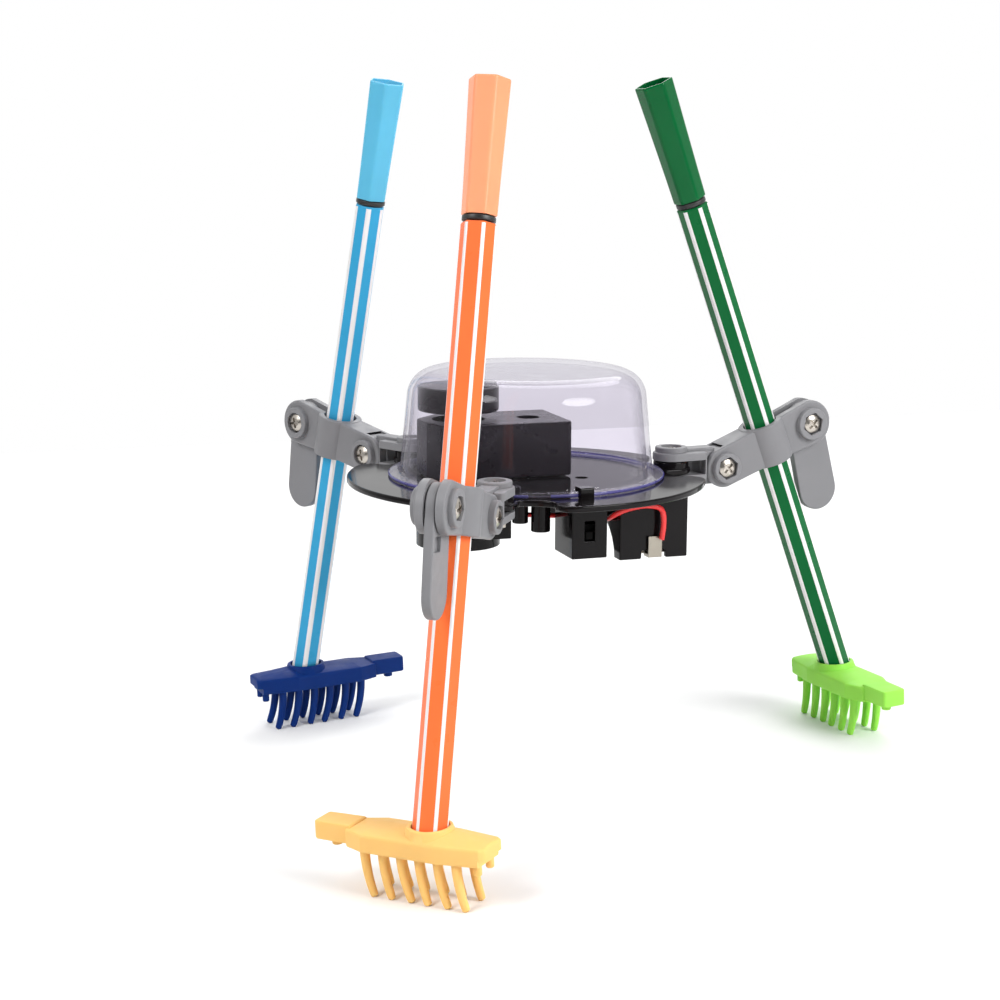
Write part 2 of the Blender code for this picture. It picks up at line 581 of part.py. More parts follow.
def build_pen(name, pen, cap):
    """Hexagonal barrel, black nib section and flared cap, tail down in the foot."""
    mouth = PEN_VISIBLE * (1 - CAP_SHARE)
    top = PEN_VISIBLE - mouth
    place(f"{name}_pen_barrel", mesh_of(f"{name}_pen_barrel",
                                        cyl(PEN_R, -3.0 * MM, mouth - 1.6 * MM, segments=6)), pen, name)
    section = place(f"{name}_pen_section", mesh_of(f"{name}_pen_section",
                                                   cyl(3.7 * MM, mouth - 1.3 * MM, mouth - 0.3 * MM)),
                    pen, "black")
    join(section, cyl(3.0 * MM, mouth - 0.8 * MM, mouth + 12 * MM, segments=16),
         cyl(2.8 * MM, mouth + 11.5 * MM, mouth + 17 * MM, segments=16, top_radius=0.8 * MM),
         cyl(0.4 * MM, mouth + 16.5 * MM, mouth + 20 * MM, segments=8))
    body = place(f"{name}_pen_cap", mesh_of(f"{name}_pen_cap",
                                            cyl(4.1 * MM, 0.0, top, segments=6, top_radius=4.85 * MM)),
                 cap, name)
    cut(body, cyl(3.3 * MM, -MM, 23.0 * MM, segments=16),
        cyl(3.9 * MM, top - 6.0 * MM, top + 0.2 * MM, segments=6, top_radius=4.2 * MM))


def build_foot(name, foot, socket):
    """Soft bristle foot: a tapered bar, a head block, a coned socket and two rows of bristles."""
    low, high = BAR_Z
    half_w = FOOT_WIDTH / 2
    outline = [(HEAD_X + 8.8 * MM, -half_w * 0.72), (HEAD_X + 14.0 * MM, -half_w),
               (4.0 * MM, -half_w), (TAIL_X - 0.8 * MM, -half_w * 0.74), (TAIL_X, -half_w * 0.6)]
    outline += [(x, -y) for x, y in reversed(outline)]
    bar = place(f"{name}_foot", outline_mesh(f"{name}_foot", outline, low, high), foot, f"{name}_foot")
    join(bar, box((HEAD_X, HEAD_X + 9.6 * MM), (-3.4 * MM, 3.4 * MM), (low + 0.3 * MM, high + 0.5 * MM)),
         cyl(5.9 * MM, high - 0.5 * MM, FOOT_TOP + 0.4 * MM, segments=16, top_radius=5.1 * MM))
    first = 8.0 * MM - (BRISTLES - 1) * BRISTLE_PITCH
    for side in (-1.0, 1.0):
        for i in range(BRISTLES):
            boolean(bar, bristle_mesh(first + i * BRISTLE_PITCH, side * 3.5 * MM, low), "UNION")
    cut(bar, box((HEAD_X - 20 * MM, TAIL_X + 20 * MM), (-20 * MM, 20 * MM), (-10 * MM, 0.0)))
    boolean(bar, mesh_of("socket", cyl(PEN_R + 0.3 * MM, -3.3 * MM, 8.0 * MM, socket, 16)),
            "DIFFERENCE")


def bristle_mesh(x, y, root_z):
    """One bristle: straight down from the bar, then swept forward to the ground."""
    curve = bpy.data.curves.new("bristle", "CURVE")
    curve.dimensions = "3D"
    curve.bevel_depth = BRISTLE_R
    curve.bevel_resolution = 1
    curve.use_fill_caps = True
    spline = curve.splines.new("POLY")
    steps = 4
    spline.points.add(steps)
    sweep = 2.3 * MM
    for i, point in enumerate(spline.points):
        t = i / steps
        point.co = (x + sweep * t * t, y, root_z + 1.2 * MM - (root_z + 2.0 * MM) * t, 1.0)
        point.radius = 1.08 - 0.25 * t
    return curve_mesh(curve)


def build_leg(chassis, name, base, swing, lean, foot_turn, hex_turn, side):
    pin = turn("Z", base) @ shift(SWIVEL_R)
    arm = make_frame(f"{name}_swivel", chassis, pin @ turn("Z", swing))
    clamp = make_frame(f"{name}_tilt", arm, shift(TILT_X) @ turn("Y", -lean))
    lever = make_frame(f"{name}_lever_pin", clamp, shift(LEVER_X) @ turn("Y", LEVER_REST))
    clamp_world = WORLD[clamp.name]
    axis = clamp_world.to_3x3() @ Vector((0, 0, 1))
    centre = clamp_world @ Vector((PEN_X, 0, 0))
    drop = (centre.z - FOOT_TOP) / axis.z
    pen = make_frame(f"{name}_pen", clamp, shift(PEN_X, 0, -drop) @ turn("Z", hex_turn))
    cap = make_frame(f"{name}_cap", pen, shift(z=PEN_VISIBLE * (1 - CAP_SHARE)))
    pen_world = WORLD[pen.name]
    outward = math.degrees(math.atan2(-axis.y, -axis.x))
    entry = pen_world.translation
    ground = shift(entry.x, entry.y) @ turn("Z", outward + foot_turn)
    foot = make_frame(f"{name}_foot_frame", pen, pen_world.inverted() @ ground)
    build_arm(name, arm)
    build_clamp(name, clamp, side)
    build_lever(name, lever)
    build_pen(name, pen, cap)
    build_foot(name, foot, ground.inverted() @ pen_world)


def build():
    lean = [math.radians(a) for a in CHASSIS_LEAN]
    tilt = Matrix.Rotation(lean[2], 4, "Z") @ Matrix.Rotation(lean[1], 4, "Y") \
        @ Matrix.Rotation(lean[0], 4, "X")
    chassis = make_frame("chassis", None, shift(*CHASSIS_CENTRE, CHASSIS_HEIGHT) @ tilt)
    bay = make_frame("bay", chassis, turn("Z", BAY_TURN))
    build_plate(chassis)
    build_dome(chassis)
    build_motor(bay)
    build_motor_housing(bay)
    build_motor_cup(bay)
    build_battery_box(bay)
    build_switch(bay)
    build_wires(bay)
    for leg in LEGS:
        build_leg(chassis, *leg)


build()
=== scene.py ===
"""The looks of a vibrating drawing robot: clear dome, motor, hinged clamps, felt pens and bristle feet.

The frame gives every place: each piece built below stands on a joint's place and axis, and the
other pieces are the CAD's own, with eased edges. Lengths are in metres through MM, angles in degrees.
"""

import json
import math
import random

import bmesh
import bpy
from mathutils import Matrix, Vector


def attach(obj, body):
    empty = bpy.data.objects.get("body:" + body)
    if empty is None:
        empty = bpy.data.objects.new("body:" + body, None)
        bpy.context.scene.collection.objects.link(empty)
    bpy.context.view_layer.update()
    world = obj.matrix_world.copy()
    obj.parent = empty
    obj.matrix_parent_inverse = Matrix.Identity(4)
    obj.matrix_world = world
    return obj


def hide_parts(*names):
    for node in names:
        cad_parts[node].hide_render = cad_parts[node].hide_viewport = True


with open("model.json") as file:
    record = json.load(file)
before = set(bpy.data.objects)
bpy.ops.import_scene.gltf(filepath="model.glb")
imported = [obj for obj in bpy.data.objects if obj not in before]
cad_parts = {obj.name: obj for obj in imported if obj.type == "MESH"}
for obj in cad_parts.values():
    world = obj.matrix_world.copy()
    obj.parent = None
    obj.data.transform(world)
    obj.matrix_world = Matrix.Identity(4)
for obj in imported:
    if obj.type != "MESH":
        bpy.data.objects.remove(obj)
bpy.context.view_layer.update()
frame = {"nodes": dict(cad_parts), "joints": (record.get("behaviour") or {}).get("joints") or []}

MM = 0.001
JOINTS = {joint["name"]: joint for joint in frame["joints"]}
NODES = frame["nodes"]
X, Y, Z = Vector((1, 0, 0)), Vector((0, 1, 0)), Vector((0, 0, 1))
random.seed(7)

# ---- sizes: the CAD's, but for the dome, its flange and the weight, which follow the eye
LOBE_R, TAB_R, SWIVEL_R = 43.5 * MM, 4.8 * MM, 38.2 * MM
NOTCH_HALF, NOTCH_DEPTH, CORNER_R = 4.4 * MM, 1.9 * MM, 3.8 * MM
PLATE_LOW, PLATE_HIGH = -0.9 * MM, 0.6 * MM
DOME_TOP, DOME_WALL = 26.4 * MM, 1.2 * MM
FLANGE_R, FLANGE_LOW, FLANGE_HIGH = 33.5 * MM, 0.72 * MM, 1.55 * MM
MOTOR_R = 8.5 * MM
DISC_R, DISC_LOW, DISC_HIGH = 9.8 * MM, 16.4 * MM, 22.4 * MM
SLUG_R, SLUG_OFFSET, SLUG_TURN = 4.2 * MM, 5.0 * MM, -19.0
HOUSING_TOP = 14.2 * MM
CLIP_ANGLES, PIN_ANGLES = (304.0, 124.0), (-90.0, 150.0, 30.0)
FLANGE_NOTCHES, FINGER_TAB = (286.0, 106.0), 275.0
PLATE_HOLE, PLATE_HOLE_R = (14.0 * MM, -2.0 * MM), 1.6 * MM
TILT_X, PEN_X, LEVER_X = 13.5 * MM, 14.8 * MM, 26.8 * MM
SWIVEL_HOLE_R, PIN_HOLE_R = 1.7 * MM, 1.6 * MM
CLAMP_H = 10.5 * MM
LEVER_LENGTH, LEVER_W, LEVER_T, LEVER_REST = 23.5 * MM, 10.8 * MM, 2.2 * MM, 7.0
PEN_R, PEN_VISIBLE, CAP_SHARE = 4.05 * MM, 160.0 * MM, 0.186
FOOT_TOP, BAR_LOW, BAR_HIGH = 16.0 * MM, 10.4 * MM, 14.4 * MM
HEAD_X, TAIL_X = -27.5 * MM, 15.0 * MM
BRISTLES, BRISTLE_PITCH, BRISTLE_R, BRISTLE_Y = 6, 4.5 * MM, 1.0 * MM, 3.5 * MM
FLOOR_HALF = 0.55

# name: foot turn, hexagon turn, side of the screw heads, side of the tongue's recess, stripe width,
# and the colours of barrel, cap and foot
LEGS = {
    "orange": (87.7, 35.0, 1, -1, 1.0 * MM,
               (0.93, 0.165, 0.045), (0.95, 0.33, 0.17), (0.88, 0.54, 0.18)),
    "blue": (57.0, 13.0, 1, 1, 1.5 * MM,
             (0.04, 0.34, 0.60), (0.115, 0.47, 0.69), (0.001, 0.024, 0.16)),
    "green": (87.0, 30.0, -1, -1, 1.3 * MM,
              (0.003, 0.115, 0.030), (0.001, 0.105, 0.027), (0.30, 0.72, 0.09)),
}


# ---- frames --------------------------------------------------------------------------
def turn(axis, degrees):
    return Matrix.Rotation(math.radians(degrees), 4, axis)


def shift(x=0.0, y=0.0, z=0.0):
    return Matrix.Translation((x, y, z))


def basis(origin, z_axis, x_hint):
    """A frame at origin with its Z along z_axis and its X as near x_hint as it can be."""
    z = Vector(z_axis).normalized()
    x = (x_hint - z * x_hint.dot(z)).normalized()
    matrix = Matrix((x, z.cross(x), z)).transposed().to_4x4()
    matrix.translation = origin
    return matrix


def joint_at(name):
    return Vector(JOINTS[name]["pos_m"])


def joint_axis(name):
    return Vector(JOINTS[name]["axis"])


def chassis_frame():
    """Z along the dome's axis; X lies 30 degrees before the green arm's pin."""
    origin, up = joint_at("dome_twist"), joint_axis("dome_twist")
    to_green = joint_at("green_swivel") - origin
    return basis(origin, up, Matrix.Rotation(math.radians(-30.0), 3, up) @ to_green)


CHASSIS = chassis_frame()
BAY = CHASSIS @ turn("Z", 30.0)
ROTOR = basis(joint_at("rotor_spin"), joint_axis("rotor_spin"), BAY.to_3x3() @ X)


# ---- mesh building -------------------------------------------------------------------
def finished(bm, matrix=None):
    bmesh.ops.recalc_face_normals(bm, faces=bm.faces)
    if matrix:
        bm.transform(matrix)
    mesh = bpy.data.meshes.new("shape")
    bm.to_mesh(mesh)
    bm.free()
    return mesh


def rounded(points, radius, steps=4, closed=True):
    """The outline with each corner eased into a curve; radius is one length or one for each corner."""
    result = []
    for i, point in enumerate(points):
        reach = radius[i] if isinstance(radius, (list, tuple)) else radius
        if reach <= 0 or (not closed and i in (0, len(points) - 1)):
            result.append(tuple(point))
            continue
        corner = Vector(point)
        before = Vector(points[i - 1]) - corner
        after = Vector(points[(i + 1) % len(points)]) - corner
        tangent = reach / math.tan(max(before.angle(after), 0.05) / 2)
        tangent = min(tangent, 0.49 * before.length, 0.49 * after.length)
        start = corner + before.normalized() * tangent
        end = corner + after.normalized() * tangent
        for k in range(steps + 1):
            t = k / steps
            result.append(tuple((1 - t) ** 2 * start + 2 * t * (1 - t) * corner + t * t * end))
    return result


def arc(centre, radius, start, end, steps, squash=1.0):
    span = [math.radians(start + (end - start) * i / steps) for i in range(steps + 1)]
    return [(centre[0] + radius * math.cos(t), centre[1] + squash * radius * math.sin(t))
            for t in span]


def lathe(profile, matrix=None, steps=64):
    """A (radius, height) profile spun about Z; one that leaves the axis is closed on itself."""
    bm = bmesh.new()
    verts = [bm.verts.new((r, 0.0, z)) for r, z in profile]
    edges = [bm.edges.new(pair) for pair in zip(verts, verts[1:])]
    if profile[0][0] > 0 or profile[-1][0] > 0:
        edges.append(bm.edges.new((verts[-1], verts[0])))
    bmesh.ops.spin(bm, geom=verts + edges, cent=(0, 0, 0), axis=Z, angle=2 * math.pi,
                   steps=steps, use_merge=True)
    bmesh.ops.remove_doubles(bm, verts=bm.verts, dist=1e-7)
    return finished(bm, matrix)


def drum(radius, low, high, edge=0.3 * MM, matrix=None, steps=48):
    """A cylinder with rounded rims."""
    corners = [(0.0, high), (radius, high), (radius, low), (0.0, low)]
    return lathe(rounded(corners, edge, 3, closed=False), matrix, steps)


def slab(points, low, high, edge=0.3 * MM, matrix=None, segments=2):
    """A flat outline given thickness along Z, its two rims rounded."""
    bm = bmesh.new()
    bottom = bm.faces.new([bm.verts.new((x, y, low)) for x, y in points])
    top = bmesh.ops.extrude_face_region(bm, geom=[bottom])["geom"]
    bmesh.ops.translate(bm, vec=(0, 0, high - low),
                        verts=[v for v in top if isinstance(v, bmesh.types.BMVert)])
    if edge > 0:
        rims = [e for e in bm.edges if abs(e.verts[0].co.z - e.verts[1].co.z) < 1e-7]
        bmesh.ops.bevel(bm, geom=rims, offset=edge, segments=segments, profile=0.5,
                        affect="EDGES", clamp_overlap=True)
    return finished(bm, matrix)


def block(xs, ys, zs, edge=0.3 * MM, matrix=None):
    """A box with rounded edges."""
    bm = bmesh.new()
    size = Matrix.Diagonal((xs[1] - xs[0], ys[1] - ys[0], zs[1] - zs[0], 1.0))
    bmesh.ops.create_cube(bm, size=1.0, matrix=shift(sum(xs) / 2, sum(ys) / 2, sum(zs) / 2) @ size)
    if edge > 0:
        bmesh.ops.bevel(bm, geom=bm.edges[:], offset=edge, segments=3, profile=0.5, affect="EDGES")
    return finished(bm, matrix)


def prism(radius, sides, low, high, matrix=None):
    points = arc((0.0, 0.0), radius, 0.0, 360.0 * (sides - 1) / sides, sides - 1)
    return slab(points, low, high, 0.0, matrix)


def loft(sections):
    """Equal rings of points joined in turn, the first and last closed with a face."""
    bm = bmesh.new()
    rings = [[bm.verts.new(p) for p in section] for section in sections]
    count = len(rings[0])
    for below, above in zip(rings, rings[1:]):
        for i in range(count):
            j = (i + 1) % count
            bm.faces.new((below[i], below[j], above[j], above[i]))
    bm.faces.new(reversed(rings[0]))
    bm.faces.new(rings[-1])
    return finished(bm)


def carve(base, *steps):
    """base after each ("+", mesh) is joined to it and each ("-", mesh) is cut from it, in turn."""
    collection = bpy.context.scene.collection
    work = bpy.data.objects.new("work", base)
    collection.objects.link(work)
    helpers = []
    for sign, mesh in steps:
        helper = bpy.data.objects.new("helper", mesh)
        collection.objects.link(helper)
        helpers.append(helper)
        step = work.modifiers.new("step", "BOOLEAN")
        step.operation = "UNION" if sign == "+" else "DIFFERENCE"
        step.solver = "EXACT"
        step.object = helper
    graph = bpy.context.evaluated_depsgraph_get()
    mesh = bpy.data.meshes.new_from_object(work.evaluated_get(graph))
    for obj in [work, *helpers]:
        old = obj.data
        bpy.data.objects.remove(obj)
        bpy.data.meshes.remove(old)
    return cleaned(mesh)


def cleaned(mesh):
    """The mesh without doubled points and without faces that have no area."""
    bm = bmesh.new()
    bm.from_mesh(mesh)
    bmesh.ops.remove_doubles(bm, verts=bm.verts, dist=0.008 * MM)
    bmesh.ops.dissolve_degenerate(bm, edges=bm.edges, dist=0.008 * MM)
    bm.to_mesh(mesh)
    bm.free()
    mesh.validate()
    return mesh


def smooth(obj):
    """Smooth shading, but for edges sharper than 38 degrees."""
    obj.data.shade_smooth()
    obj.data.set_sharp_from_angle(angle=math.radians(38.0))
    normals = obj.modifiers.new("normals", "WEIGHTED_NORMAL")
    normals.keep_sharp = True


def piece(name, mesh, matrix, body, materials, node):
    """A finished piece in its place, riding on its body and standing for a CAD node."""
    obj = bpy.data.objects.new(name, mesh)
    mesh.name = name
    bpy.context.scene.collection.objects.link(obj)
    obj.matrix_world = matrix
    mesh.materials.clear()
    for material in materials:
        mesh.materials.append(material)
    smooth(obj)
    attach(obj, body)
    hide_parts(node)
    return obj


def dress(node, material, edge=0.0):
    """A CAD node kept as it is, with its edges eased and its finish improved."""
    obj = NODES[node]
    obj.data.materials.clear()
    obj.data.materials.append(material)
    weld = obj.modifiers.new("weld", "WELD")
    weld.merge_threshold = 0.000002
    if edge > 0:
        bevel = obj.modifiers.new("edges", "BEVEL")
        bevel.width = edge
        bevel.segments = 2
        bevel.limit_method = "ANGLE"
        bevel.angle_limit = math.radians(42)
        bevel.use_clamp_overlap = True
    smooth(obj)


# ---- materials -----------------------------------------------------------------------
class Nodes:
    """Short names for building one material's nodes."""

    def __init__(self, name):
        self.material = bpy.data.materials.new(name)
        self.material.use_nodes = True
        self.tree = self.material.node_tree
        self.shader = self.tree.nodes["Principled BSDF"]
        self.coords = self.add("ShaderNodeTexCoord").outputs["Object"]

    def add(self, kind, **settings):
        node = self.tree.nodes.new(kind)
        for key, value in settings.items():
            setattr(node, key, value)
        return node

    def link(self, source, target):
        self.tree.links.new(source, target)

    def noise(self, scale, detail=3.0):
        node = self.add("ShaderNodeTexNoise")
        node.inputs["Scale"].default_value = scale
        node.inputs["Detail"].default_value = detail
        self.link(self.coords, node.inputs["Vector"])
        return node.outputs["Fac"]

    def spread(self, value, low, high, start=0.3, end=0.7):
        """value between start and end, spread over low to high."""
        node = self.add("ShaderNodeMapRange")
        for key, number in (("From Min", start), ("From Max", end), ("To Min", low), ("To Max", high)):
            node.inputs[key].default_value = number
        self.link(value, node.inputs["Value"])
        return node.outputs["Result"]

    def mix(self, factor, first, second):
        node = self.add("ShaderNodeMix", data_type="RGBA")
        self.link(factor, node.inputs["Factor"])
        node.inputs[6].default_value = (*first, 1.0)
        node.inputs[7].default_value = (*second, 1.0)
        return node.outputs[2]

    def bump(self, height, strength, distance):
        node = self.add("ShaderNodeBump")
        node.inputs["Strength"].default_value = strength
        node.inputs["Distance"].default_value = distance
        self.link(height, node.inputs["Height"])
        return node.outputs["Normal"]


def scaled(colour, amount):
    return tuple(min(1.0, c * amount) for c in colour)


def moulded(name, colour, roughness, grain=1400.0, depth=0.02 * MM, strength=0.15, coat=0.0,
            variation=0.08, metallic=0.0, soft=0.0, shine=0.5):
    """Moulded plastic, rubber or metal: faint clouding, worn gloss and a fine skin."""
    nodes = Nodes(name)
    cloud = nodes.noise(55.0)
    colour_out = nodes.mix(nodes.spread(cloud, 0.0, 1.0), scaled(colour, 1 - variation),
                           scaled(colour, 1 + variation))
    nodes.link(colour_out, nodes.shader.inputs["Base Color"])
    worn = nodes.spread(nodes.noise(240.0, 5.0), roughness * 0.8, roughness * 1.25)
    nodes.link(worn, nodes.shader.inputs["Roughness"])
    skin = nodes.bump(nodes.noise(grain, 4.0), strength, depth)
    nodes.link(skin, nodes.shader.inputs["Normal"])
    nodes.shader.inputs["Metallic"].default_value = metallic
    nodes.shader.inputs["Coat Weight"].default_value = coat
    nodes.shader.inputs["Coat Roughness"].default_value = 0.08
    nodes.shader.inputs["Specular IOR Level"].default_value = shine
    if soft:
        nodes.shader.inputs["Subsurface Weight"].default_value = soft
        nodes.shader.inputs["Subsurface Radius"].default_value = (2 * MM, 1.4 * MM, 0.7 * MM)
        nodes.shader.inputs["Subsurface Scale"].default_value = 1.0
    return nodes.material


def clear_plastic(name, tint, edge_tint, body, edge):
    """Clear moulding: see-through head on, a veil and a hard gloss where it is seen edge on.

    body and edge are the veil's share head on and edge on.
    """
    nodes = Nodes(name)
    facing = nodes.add("ShaderNodeLayerWeight")
    facing.inputs["Blend"].default_value = 0.30
    ripple = nodes.bump(nodes.noise(90.0, 2.0), 0.10, 0.25 * MM)
    nodes.link(ripple, nodes.shader.inputs["Normal"])
    colour = nodes.mix(nodes.spread(facing.outputs["Facing"], 0.0, 1.0, 0.1, 0.8),
                       scaled(tint, 0.4), edge_tint)
    nodes.link(colour, nodes.shader.inputs["Base Color"])
    nodes.link(nodes.spread(nodes.noise(180.0), 0.25, 0.35), nodes.shader.inputs["Roughness"])
    see_through = nodes.add("ShaderNodeBsdfTransparent")
    see_through.inputs["Color"].default_value = (*tint, 1.0)
    veil = nodes.add("ShaderNodeMixShader")
    nodes.link(nodes.spread(facing.outputs["Facing"], body, edge, 0.40, 1.0), veil.inputs[0])
    nodes.link(see_through.outputs["BSDF"], veil.inputs[1])
    nodes.link(nodes.shader.outputs["BSDF"], veil.inputs[2])
    mirror = nodes.add("ShaderNodeBsdfGlossy")
    mirror.inputs["Roughness"].default_value = 0.035
    nodes.link(ripple, mirror.inputs["Normal"])
    edge_on = nodes.add("ShaderNodeLayerWeight")
    edge_on.inputs["Blend"].default_value = 0.5
    steep = nodes.add("ShaderNodeMath", operation="POWER")
    steep.inputs[1].default_value = 5.0
    nodes.link(edge_on.outputs["Facing"], steep.inputs[0])
    blend = nodes.add("ShaderNodeMixShader")
    nodes.link(nodes.spread(steep.outputs["Value"], 0.018, 0.60, 0.0, 1.0), blend.inputs[0])
    nodes.link(veil.outputs["Shader"], blend.inputs[1])
    nodes.link(mirror.outputs["BSDF"], blend.inputs[2])
    output = nodes.tree.nodes["Material Output"]
    nodes.link(blend.outputs["Shader"], output.inputs["Surface"])
    return nodes.material


BLACK = moulded("black_gloss", (0.006, 0.005, 0.0055), 0.10, strength=0.04, shine=0.14)
BLACK_GRAIN = moulded("black_grain", (0.014, 0.011, 0.014), 0.30, grain=420.0, depth=0.10 * MM,
                      strength=0.45, shine=0.3)
GREY = moulded("grey_satin", (0.205, 0.204, 0.214), 0.46, grain=1600.0, strength=0.2, variation=0.05,
               shine=0.22)
STEEL = moulded("bright_steel", (0.52, 0.48, 0.43), 0.30, metallic=1.0, grain=2600.0, strength=0.1)
NICKEL = moulded("contact_nickel", (0.36, 0.33, 0.28), 0.38, metallic=1.0, grain=1500.0, variation=0.2)
ZINC = moulded("motor_zinc", (0.55, 0.55, 0.56), 0.35, metallic=1.0, grain=900.0)
RED_WIRE = moulded("red_insulation", (0.80, 0.022, 0.022), 0.35, coat=0.2)
BLACK_WIRE = moulded("black_insulation", (0.018, 0.018, 0.018), 0.4)
SLIDER = moulded("slider_matt", (0.004, 0.004, 0.004), 0.6, shine=0.05)
CLEAR = clear_plastic("clear_dome", (0.925, 0.912, 0.945), (0.22, 0.20, 0.29), 0.008, 0.55)
CLEAR_RIM = clear_plastic("clear_rim", (0.30, 0.28, 0.78), (0.04, 0.03, 0.36), 0.50, 0.98)
WHITE_INK = moulded("white_stripe", (0.76, 0.745, 0.75), 0.35, variation=0.03, coat=0.3)


# ---- chassis -------------------------------------------------------------------------
def plate_outline():
    """Three round lobes with a notched pin tab between each pair, as in the CAD but finer."""
    corner_s = TAB_R + 2 * NOTCH_HALF + CORNER_R
    corner_r = math.sqrt((LOBE_R - CORNER_R) ** 2 - corner_s ** 2)
    tangent = math.degrees(math.atan2(corner_r, corner_s))
    half = arc((0.0, SWIVEL_R), TAB_R, 90, 0, 12)
    half += arc((TAB_R + NOTCH_HALF, corner_r), NOTCH_HALF, 180, 360, 14,
                NOTCH_DEPTH / NOTCH_HALF)[1:-1]
    half += arc((corner_s, corner_r), CORNER_R, 180, tangent, 9)
    half += arc((0.0, 0.0), LOBE_R, tangent, 30.0, 16)[1:]
    sector = [(-x, y) for x, y in reversed(half[1:-1])] + half
    points = []
    for k in range(3):
        c, s = math.cos(math.radians(-120.0 * k)), math.sin(math.radians(-120.0 * k))
        points += [(-(c * x - s * y), -(s * x + c * y)) for x, y in sector]
    return points


def make_plate():
    """Plate with its rounded rim, bosses, clips, posts and holes."""
    steps = []
    hook = [(33.8, 0.2), (35.5, 0.2), (35.5, 3.1), (32.1, 3.1), (32.1, 1.95), (33.8, 1.95)]
    hook = rounded([(x * MM, y * MM) for x, y in hook], [0, 0, 0.5 * MM, 0.4 * MM, 0.2 * MM, 0])
    for angle in CLIP_ANGLES:
        steps.append(("+", slab(hook, -1.7 * MM, 1.7 * MM, 0.2 * MM, turn("Z", angle) @ turn("X", 90))))
    posts = (((-6.2, -13.7), 1.9, -8.5), ((-1.6, -15.2), 2.3, -10.5), ((2.0, 24.0), 2.3, -9.0),
             ((-23.0, -12.0), 2.3, -9.0))
    for (x, y), radius, bottom in posts:
        steps.append(("+", drum(radius * MM, bottom * MM, -0.5 * MM, 0.25 * MM,
                                turn("Z", 30.0) @ shift(x * MM, y * MM), 32)))
    motor = CHASSIS.inverted() @ ROTOR.translation
    steps.append(("-", prism(MOTOR_R + 0.4 * MM, 64, -3 * MM, 3 * MM, shift(motor.x, motor.y))))
    for angle in PIN_ANGLES:
        pin = turn("Z", angle) @ shift(SWIVEL_R)
        steps.append(("+", drum(4.4 * MM, 0.2 * MM, 2.15 * MM, 0.3 * MM, pin, 40)))
        steps.append(("-", prism(SWIVEL_HOLE_R, 24, -3 * MM, 3 * MM, pin)))
    steps.append(("-", prism(PLATE_HOLE_R, 24, -3 * MM, 3 * MM, shift(*PLATE_HOLE))))
    mesh = carve(slab(plate_outline(), PLATE_LOW, PLATE_HIGH, 0.4 * MM, segments=3), *steps)
    piece("plate_shell", mesh, CHASSIS, "chassis", [BLACK], "chassis_plate")


def make_housing():
    """Grained motor block with rounded edges, the round opening and the sunk screw's hole."""
    corners = [(9.5, -6.3), (9.5, 14.3), (-19.0, 14.3), (-25.2, 8.5), (-25.2, 0.0), (-23.4, -6.3)]
    outline = rounded([(x * MM, y * MM) for x, y in corners], 0.8 * MM, 3)
    motor = BAY.inverted() @ ROTOR.translation
    at_motor, at_screw = shift(motor.x, motor.y), shift(1.3 * MM, 2.4 * MM)
    low, above = PLATE_HIGH + 0.3 * MM, HOUSING_TOP + MM
    opening_r, sink_r, shank_r = 6.4 * MM, 2.8 * MM, 1.5 * MM
    motor_top, opening_low, sink_low = 11.6 * MM, 11.0 * MM, 10.2 * MM
    mesh = carve(slab(outline, low, HOUSING_TOP, 0.5 * MM),
                 ("-", prism(MOTOR_R + 0.3 * MM, 64, -MM, motor_top, at_motor)),
                 ("-", prism(opening_r, 48, opening_low, above, at_motor)),
                 ("-", prism(sink_r, 32, sink_low, above, at_screw)),
                 ("-", prism(shank_r, 24, -MM, sink_low + 0.8 * MM, at_screw)))
    piece("housing_shell", mesh, BAY, "chassis", [BLACK_GRAIN], "motor_housing")
    make_screw("housing_screw_head", BAY @ at_screw @ shift(z=11.9 * MM), 2.4, 1.4, 1.2, 10.0,
               "chassis", "housing_screw")


def make_screw(name, matrix, head_r, head_h, shank_r, shank_length, body, node):
    """Pan head with a cross recess, its shank running down -Z; the sizes are in millimetres."""
    head = [(0.0, head_h / 2), (head_r * 0.55, head_h / 2), (head_r, head_h * 0.05),
            (head_r, -head_h / 2), (shank_r, -head_h / 2), (shank_r, -head_h / 2 - shank_length),
            (0.0, -head_h / 2 - shank_length)]
    profile = rounded([(r * MM, z * MM) for r, z in head], 0.25 * MM, 3, closed=False)
    reach, half, deep = head_r * 0.62 * MM, head_r * 0.13 * MM, head_h * 0.55 * MM
    long, short = (-reach, reach), (-half, half)
    depth, spin = (head_h / 2 * MM - deep, head_h / 2 * MM + MM), turn("Z", 25)
    mesh = carve(lathe(profile, steps=40), ("-", block(long, short, depth, 0.0, spin)),
                 ("-", block(short, long, depth, 0.0, spin)))
    piece(name, mesh, matrix, body, [STEEL], node)


def make_weight():
    """Off-centre weight: a disc on the shaft with a slug sunk in its top, both black to the eye."""
    at_slug = turn("Z", SLUG_TURN) @ shift(SLUG_OFFSET)
    disc = carve(drum(DISC_R, DISC_LOW, DISC_HIGH, 0.5 * MM, steps=72),
                 ("-", prism(SLUG_R + 0.25 * MM, 48, DISC_HIGH - 1.8 * MM, DISC_HIGH + MM, at_slug)))
    piece("weight_shell", disc, ROTOR, "rotor", [BLACK_GRAIN], "weight_disc")
    slug = drum(SLUG_R, DISC_HIGH - 1.5 * MM, DISC_HIGH + MM, 0.4 * MM, at_slug)
    piece("weight_pin", slug, ROTOR, "rotor", [BLACK_GRAIN], "weight_slug")


